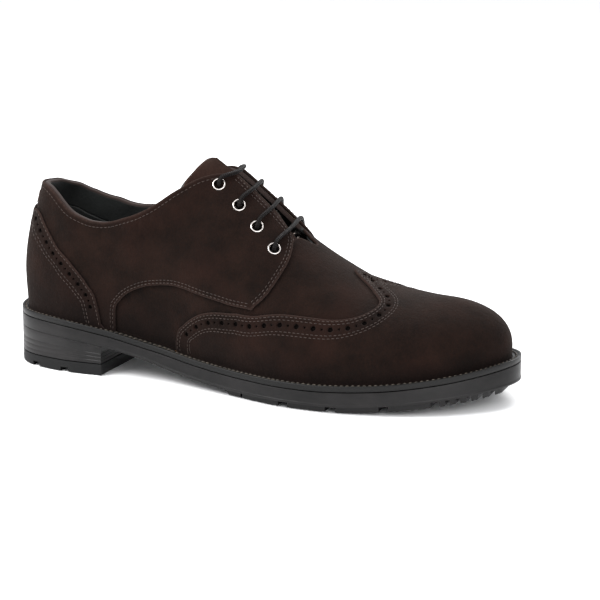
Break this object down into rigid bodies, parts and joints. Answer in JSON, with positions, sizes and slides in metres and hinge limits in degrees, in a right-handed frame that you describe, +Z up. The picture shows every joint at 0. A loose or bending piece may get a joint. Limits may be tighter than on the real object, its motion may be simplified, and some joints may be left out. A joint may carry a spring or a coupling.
{
  "type": "laced golf shoe",
  "caption": "Suede wing-tip derby golf shoe for the right foot, with a storm welt, stacked heel and lugged rubber sole.",
  "frame": {"origin": "on the ground, under the middle of the sole's bounding box", "axes": "+X towards the toe, +Y towards the inner side of the foot, +Z up"},
  "size_m": [0.3052, 0.11, 0.1298],
  "materials": {
    "suede": "dark chocolate suede, napped, folded and stitched edges",
    "tab_leather": "raw reddish leather",
    "lining_leather": "smooth very dark green-black lining leather",
    "sock_leather": "smooth dark leather sock",
    "sole_rubber": "satin charcoal rubber",
    "welt_rubber": "black welt with slanted stitches",
    "fibre_board": "pressed leather-fibre board",
    "foam": "open-cell foam",
    "cork": "ground cork filler",
    "shank_steel": "rolled spring steel",
    "eyelet_metal": "bright nickel-plated rolled eyelets",
    "lace_cord": "thin round waxed dark brown lace"
  },
  "bodies": {
    "shoe": {"outsole": "sole_rubber", "heel_block": "sole_rubber", "heel_top_lift": "sole_rubber", "welt": "welt_rubber", "cork_filler": "cork", "shank": "shank_steel", "insole_board": "fibre_board", "sock_liner": "sock_leather", "heel_lining": "lining_leather", "lateral_quarter_lining": "lining_leather", "medial_quarter_lining": "lining_leather", "collar_lining": "lining_leather", "vamp_lining": "lining_leather", "heel_counter": "fibre_board", "collar_padding": "foam", "toe_puff": "fibre_board", "lateral_facing_stay": "fibre_board", "medial_facing_stay": "fibre_board", "vamp": "suede", "wing_cap": "suede", "lateral_quarter": "suede", "medial_quarter": "suede", "heel_foxing": "suede", "heel_tab": "tab_leather", "lateral_eyelet_1": "eyelet_metal", "medial_eyelet_1": "eyelet_metal", "lateral_eyelet_2": "eyelet_metal", "medial_eyelet_2": "eyelet_metal", "lateral_eyelet_3": "eyelet_metal", "medial_eyelet_3": "eyelet_metal", "lateral_eyelet_4": "eyelet_metal", "medial_eyelet_4": "eyelet_metal", "lace": "lace_cord"},
    "tongue_flap": {"tongue": "suede", "tongue_padding": "foam", "tongue_lining": "lining_leather"}
  },
  "joints": [
    {"name": "tongue_swing", "type": "hinge", "parent": "shoe", "child": "tongue_flap", "pos_m": [0.05325, 0.00235, 0.066], "axis": [0, -1, 0], "range_deg": [0, 12], "stiffness_Nm_per_rad": 0.06, "springref_deg": -14.32}
  ]
}
